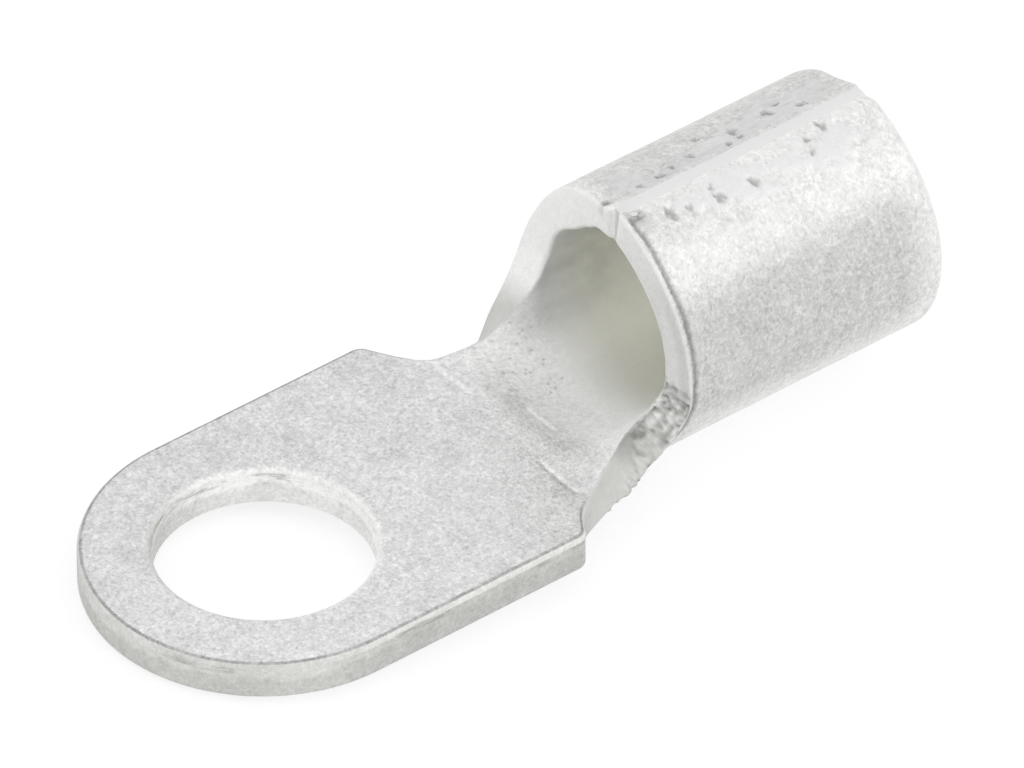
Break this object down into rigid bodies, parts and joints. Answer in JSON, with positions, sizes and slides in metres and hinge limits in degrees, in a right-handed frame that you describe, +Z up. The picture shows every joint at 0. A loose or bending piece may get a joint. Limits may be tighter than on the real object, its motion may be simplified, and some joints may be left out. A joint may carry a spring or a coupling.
{
  "type": "ring terminal",
  "caption": "Uninsulated tin-plated copper ring terminal: flat round tongue with a stud hole, stepped neck and a rolled wire barrel with a brazed seam.",
  "frame": {"origin": "middle of the stud hole, on the underside of the tongue", "axes": "+Z up through the stud hole, +X from the stud hole along the barrel towards the wire, +Y across the tongue"},
  "size_m": [0.0278, 0.011, 0.0086],
  "materials": {
    "tinned_copper": "matt electroplated tin over copper, fine grained and lightly scratched"
  },
  "bodies": {
    "root": {"ring_terminal": "tinned_copper"}
  },
  "joints": []
}
